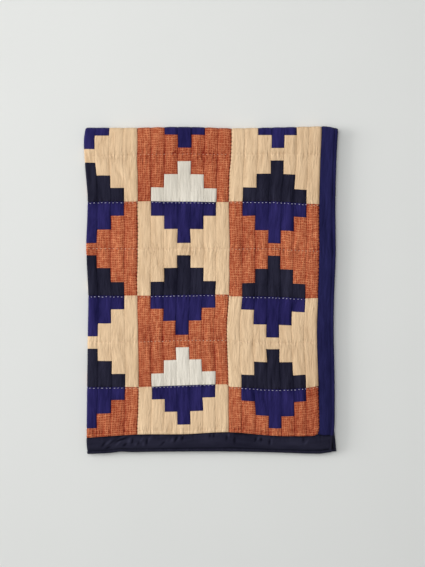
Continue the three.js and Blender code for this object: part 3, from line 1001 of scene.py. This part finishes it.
class QUILT_OT_borders(bpy.types.Operator):
    """Add the four borders round the patchwork"""

    bl_idname = "quilt.borders"
    bl_label = "Borders"

    COARSE = (10, 20, 30)

    def execute(self, context):
        colours = cloths(context.scene.quilt_colours)
        tucked_in = INNER_SEAM - TUCKED_REACH, OUTER_SEAM + TUCKED_REACH
        columns = stations(*tucked_in, ACROSS, (*range(3, 31, 3), 33.5, 37), self.COARSE)
        field = HEAD_FIELD + SEAM_GAP / 2, FOOT_FIELD - SEAM_GAP / 2
        rows = stations(*field, ALONG, range(4, 37, 4), self.COARSE)
        for name, seam, width, sign, _ in EDGES:
            over = np.sort(seam + sign * self.offsets(width))
            at_end = width == END_BORDER
            lines = (columns, over) if at_end else (over, rows)
            self.add_border(name.format("border"), *lines, at_end, colours)
        return {"FINISHED"}

    def offsets(self, width):
        """Stations across a border, from its seam to the edge that the binding hides."""
        outer = (width - 3, width - SEAM_GAP - SHOULDER, width - SEAM_GAP, width + TUCKED_REACH)
        return np.array([SEAM_GAP / 2, 1.5, 3.5, 6.5, *np.arange(10, width - 4, 3.2), *outer])

    def add_border(self, name, columns, rows, at_end, colours):
        """A strip of plain cloth: a low swell between its seam and the binding, slow bands along it,
        creases, and puckers that die away from the seam."""

        def half(across, along):
            inset = SEAM_GAP + 0.01
            tucked = (across > OUTER_SEAM - inset) | (across < INNER_SEAM + inset)
            tucked = tucked | (along > FOOT_SEAM - inset) | (along < HEAD_SEAM + inset)
            return np.where(tucked, TUCKED, QUILT) / 2, tucked

        def face_out(*at):
            thick, tucked = half(*at)
            fields = ((OUTER_FIELD, INNER_FIELD), (FOOT_FIELD, HEAD_FIELD))
            from_side, from_end = (
                np.minimum(*(np.abs(way - seam) for seam in seams)) for way, seams in zip(at, fields)
            )
            from_seam, width = (from_end, END_BORDER) if at_end else (from_side, SIDE_BORDER)
            raised = 0.5 * np.sin(np.pi * np.clip(from_seam / width, 0, 1))
            raised = raised - DIP * bell(from_seam, DIP_WIDTH)
            raised = raised - 0.7 * bell(np.maximum(width - from_seam, 0), DIP_WIDTH)
            if at_end:
                raised = raised + 0.2 * uneven(*at, 90, 12, 41)
                raised = raised + 0.7 * uneven(*at, 6.5, 30, 42) * np.exp(-from_seam / 9)
            else:
                raised = raised - DIP * bell(from_end, DIP_WIDTH) + 0.3 * uneven(*at, 11, 210, 43)
                raised = raised + 0.35 * uneven(*at, 22, 9, 44) * np.exp(-from_seam / 8)
            raised = raised + 0.4 * uneven(*at, *SLOW) + creases(*at)
            return thick + np.where(tucked, 0, layered(raised, *at))

        def back_out(*at):
            return -half(*at)[0]

        plan, out, faces, _ = sheet_mesh(columns, rows, face_out, back_out, 0.1)
        points = place(*blunted(*plan.T), out)
        # Painted shade and highlight: dark where the face sinks into hollows and seam dips, pale where
        # it stands out
        values = {"raised": np.clip((out - QUILT / 2) / STANDS + 0.6, 0.2, 1.2)}
        slot, kind = ("end_cotton", SHADED_NAVY) if at_end else ("side_cotton", DEEP_INDIGO)
        plan = plan[:, ::-1] if at_end else plan
        piece(f"{name}_cloth", [name], points, faces, [colours[kind]], None, plan, values)


class QUILT_OT_bindings(bpy.types.Operator):
    """Add the four strips of binding, folded over the raw edge"""

    bl_idname = "quilt.bindings"
    bl_label = "Bindings"

    def execute(self, context):
        colours = cloths(context.scene.quilt_colours)
        fine, coarse = range(5, 36, 5), (20,)
        across = stations(INNER_SEAM - BINDING, OPEN_EDGE, ACROSS, fine, coarse)
        ends, way = (HEAD_SEAM + SEAM_GAP, FOOT_SEAM - SEAM_GAP), (*ALONG[:2], 16)
        along = stations(*ends, way, fine, coarse)
        end_length = OPEN_EDGE - (INNER_SEAM - BINDING) - 2 * (BINDING - TUCKED_REACH)
        for name, seam, width, sign, under in EDGES:
            at_end = width == END_BORDER
            stops, length = (across, end_length) if at_end else (along, FOOT_FIELD - HEAD_FIELD)
            binding = name.format("binding")
            made = self.add_binding(binding, seam + sign * width, sign, stops, at_end, colours)
            size = ((width + TUCKED_REACH) * MM, length * MM)
        return {"FINISHED"}

    def section(self):
        """The binding's outline, as distances past the border's seam and out: up over its rounded
        lip, along the face with a low crown, half an ellipse round the quilt's edge, back along the
        underside, and in along the slot."""
        lip = BINDING_DEPTH / 2
        slot = lip - BINDING_CLOTH
        slot_end = TUCKED_REACH + SEAM_GAP
        rounding = 2.2
        past = np.array([0.0, 0.5, 1.4, 2.8, 4.2, 5.6, BINDING - rounding])
        out = lip * np.array([0.86, 0.97, 1.02, 1.05, 1.05, 1.02, 1.0])
        angles = np.linspace(QUARTER, -QUARTER, 11)[1:-1]
        edge = BINDING - rounding * (1 - np.cos(angles))
        past = np.concatenate([past, edge, past[::-1], [0, slot_end, slot_end, 0]])
        out = np.concatenate([out, lip * np.sin(angles), -out[::-1], [-slot, -slot, slot, slot]])
        return past, out

    def add_binding(self, name, seam, sign, stops, at_end, colours):
        """The section carried along an edge, a little fuller and thinner from place to place."""

        def at(past, stop):
            """Across and along of a place so far past the border's seam."""
            past = seam + sign * past
            return (stop, past) if at_end else (past, stop)

        past, out = self.section()
        slot = BINDING_DEPTH / 2 - BINDING_CLOTH
        spread_past, spread_stop = np.meshgrid(past, stops)
        across, along = at(spread_past, spread_stop)
        ripple = 0.35 * uneven(spread_stop, spread_past * 0, 9, 9, 51)
        lifted = out + np.where(out > slot + 0.2, uppermost(across, along) * ripple, 0)
        plan = np.stack([across, along], axis=-1).reshape(-1, 2)
        points = place(*plan.T, lifted.ravel())
        faces = tube_faces(len(past), len(stops))
        # Painted shade: darker towards the binding's two rounded edges, where it turns from the light,
        # and palest on its crown
        raised = np.tile(0.72 - 0.45 * (np.abs(past - 4.2) / 4.8) ** 2, len(stops))
        if at_end:
            # The end of the strip is folded in, and fills the slot's mouth as a flat box
            slot = slot - 0.05
            box_past = np.tile([0.1, TUCKED_REACH, TUCKED_REACH, 0.1], 4)
            box_stop = np.repeat(stops[[0, 0, -1, -1]] + np.array([0.1, 1.4, -1.4, -0.1]), 4)
            boxes = np.stack(at(box_past, box_stop), axis=-1)
            faces += tube_faces(4, 2, len(points)) + tube_faces(4, 2, len(points) + 8)
            box_points = place(*boxes.T, np.tile([slot, slot, -slot, -slot], 4))
            points = np.concatenate([points, box_points])
            plan = np.concatenate([plan, boxes])
            # The box sits in the slot's mouth and is painted in shade
            raised = np.concatenate([raised, np.full(16, 0.4)])
        # Beside the end borders every strip is of their cloth
        middles = np.array([plan[face].mean(axis=0)[1] for face in faces])
        kinds = (middles > FOOT_FIELD) | (middles < HEAD_FIELD)
        slot, kind = ("end_cotton", SHADED_NAVY) if at_end else ("side_cotton", DEEP_INDIGO)
        both, values = [colours[kind], colours[SHADED_NAVY]], {"raised": raised}
        return piece(f"{name}_cloth", [name], points, faces, both, kinds, plan, values, 40)


class QUILT_OT_stitches(bpy.types.Operator):
    """Add the rows of quilting stitches across the outer layers"""

    bl_idname = "quilt.stitches"
    bl_label = "Stitches"

    SIDES = 6  # of a thread

    def execute(self, context):
        sizes = context.scene.quilt_cloth
        colours = context.scene.quilt_colours

        def crossings(first, second):
            """Each place of the first list with every one of the second."""
            return [grid.ravel() for grid in np.meshgrid(first, second, indexing="ij")]

        # The seam's thread shows on the rust cloth that lies before it; elsewhere it has sunk in
        seams = BLOCK_LEFT + BLOCK * np.array([1, 2])
        across, along = crossings(seams, np.arange(-PITCH, FOOT_FIELD - 4, PITCH))
        shows = cloth_at(across - 3, along) == RUST
        groups = [("seam_stitches", across[shows] - 1.8, along[shows], QUARTER, colours.seam_thread)]
        # Pale thread on the indigo steps, and thread in the ground's colour on the rest
        rows = np.concatenate([first + BLOCK * np.arange(-3, 5) for first in (ROW_TOP, MIDDLE_TOP)])
        rows = rows[(np.abs(rows) > SECOND_TURN) & (rows > HEAD_FIELD + LOG / 2)]
        rows = rows[rows < FOOT_FIELD - LOG / 2]
        along, across = crossings(rows, np.arange(-PITCH / 4, OUTER_FIELD - 4, PITCH))
        pale = cloth_at(across, along) == INDIGO
        for name, some, beyond, colour in (
            ("row_stitches", pale, 0.5, colours.thread),
            ("middle_stitches", ~pale, 1.2, colours.middle_thread),
        ):
            groups.append((name, across[some], along[some] + beyond, 0, colour))

        rng = np.random.default_rng(71)
        for name, at_across, at_along, turned, colour in groups:
            count = len(at_across)
            at_across = at_across + rng.uniform(-0.8, 0.8, count)
            at_along = at_along + rng.uniform(-0.6, 0.6, count)
            turn = turned + rng.normal(0, 0.10, count)
            length = sizes.stitch / MM * rng.uniform(0.8, 1.15, count)
            thread = cotton_thread(f"Twisted cotton thread of the {name}", colour)
            self.capsules(name, at_across, at_along, turn, length, sizes, thread)
        return {"FINISHED"}

    def capsules(self, name, across, along, turn, length, sizes, thread):
        """One mesh of many short threads that follow the cloth's face and dive in at their ends.

        A thread's width is a fourth-power arch along it, and round it an ellipse; it lies along the
        row turned by its own small angle. Next to the fold the threads lie deeper.
        """
        onward = np.array([-1, -0.8, -0.35, 0.35, 0.8, 1])
        width = (1 - onward**4 * 0.9) ** 0.5 * sizes.thread / MM / 2
        angles = np.arange(self.SIDES) * 2 * math.pi / self.SIDES
        s = np.repeat(onward, self.SIDES)
        side = np.outer(width, np.cos(angles)).ravel()
        up = np.outer(width, np.sin(angles)).ravel() * 0.6
        dive = -0.55 * np.abs(s) ** 3 + 0.25
        sunk = np.where(along < BLOCK_TOP + BLOCK - 5, 0.35, 0)[:, None]
        local = length[:, None] / 2 * s
        cos, sin = np.cos(turn)[:, None], np.sin(turn)[:, None]
        at_across = across[:, None] + local * cos - side * sin
        at_along = along[:, None] + local * sin + side * cos
        face = layered(relief(at_across, at_along, sizes), at_across, at_along)
        out = QUILT / 2 + face + up + dive - sunk
        points = place(*strayed(at_across, at_along, sizes.unevenness), out).reshape(-1, 3)
        starts = range(0, len(points), len(s))
        faces = [face for start in starts for face in tube_faces(self.SIDES, len(onward), start)]
        return piece(name, [], points, faces, [thread], sharp=80)


class QUILT_PT_panel(bpy.types.Panel):
    """Lists the quilt's settings and the steps that make it"""

    bl_label = "Folded quilt"
    bl_idname = "QUILT_PT_panel"
    bl_space_type = "VIEW_3D"
    bl_region_type = "UI"
    bl_category = "Quilt"

    def draw(self, context):
        for name in GROUPS:
            group = getattr(context.scene, name)
            box = self.layout.box()
            for setting in group.bl_rna.properties.keys():
                if setting not in ("rna_type", "name"):
                    box.prop(group, setting)
        for operator in OPERATORS:
            self.layout.operator(operator.bl_idname)


GROUPS = {"quilt_cloth": QuiltCloth, "quilt_colours": QuiltColours, "quilt_stage": QuiltStage}
OPERATORS = (
    QUILT_OT_stage,
    QUILT_OT_patchwork,
    QUILT_OT_borders,
    QUILT_OT_bindings,
    QUILT_OT_stitches,
)
CLASSES = (*GROUPS.values(), *OPERATORS, QUILT_PT_panel)


def register():
    """Registers the classes and hangs the settings on the scene."""
    for cls in CLASSES:
        bpy.utils.register_class(cls)
    for name, group in GROUPS.items():
        setattr(bpy.types.Scene, name, bpy.props.PointerProperty(type=group))


def unregister():
    """Takes the settings off the scene and the classes out again."""
    for name in GROUPS:
        delattr(bpy.types.Scene, name)
    for cls in reversed(CLASSES):
        bpy.utils.unregister_class(cls)


def main():
    """Registers the settings and steps, then makes the stage and the pieces in order."""
    register()
    bpy.ops.quilt.stage()
    bpy.ops.quilt.patchwork()
    bpy.ops.quilt.borders()
    bpy.ops.quilt.bindings()
    bpy.ops.quilt.stitches()


if __name__ == "__main__":
    main()
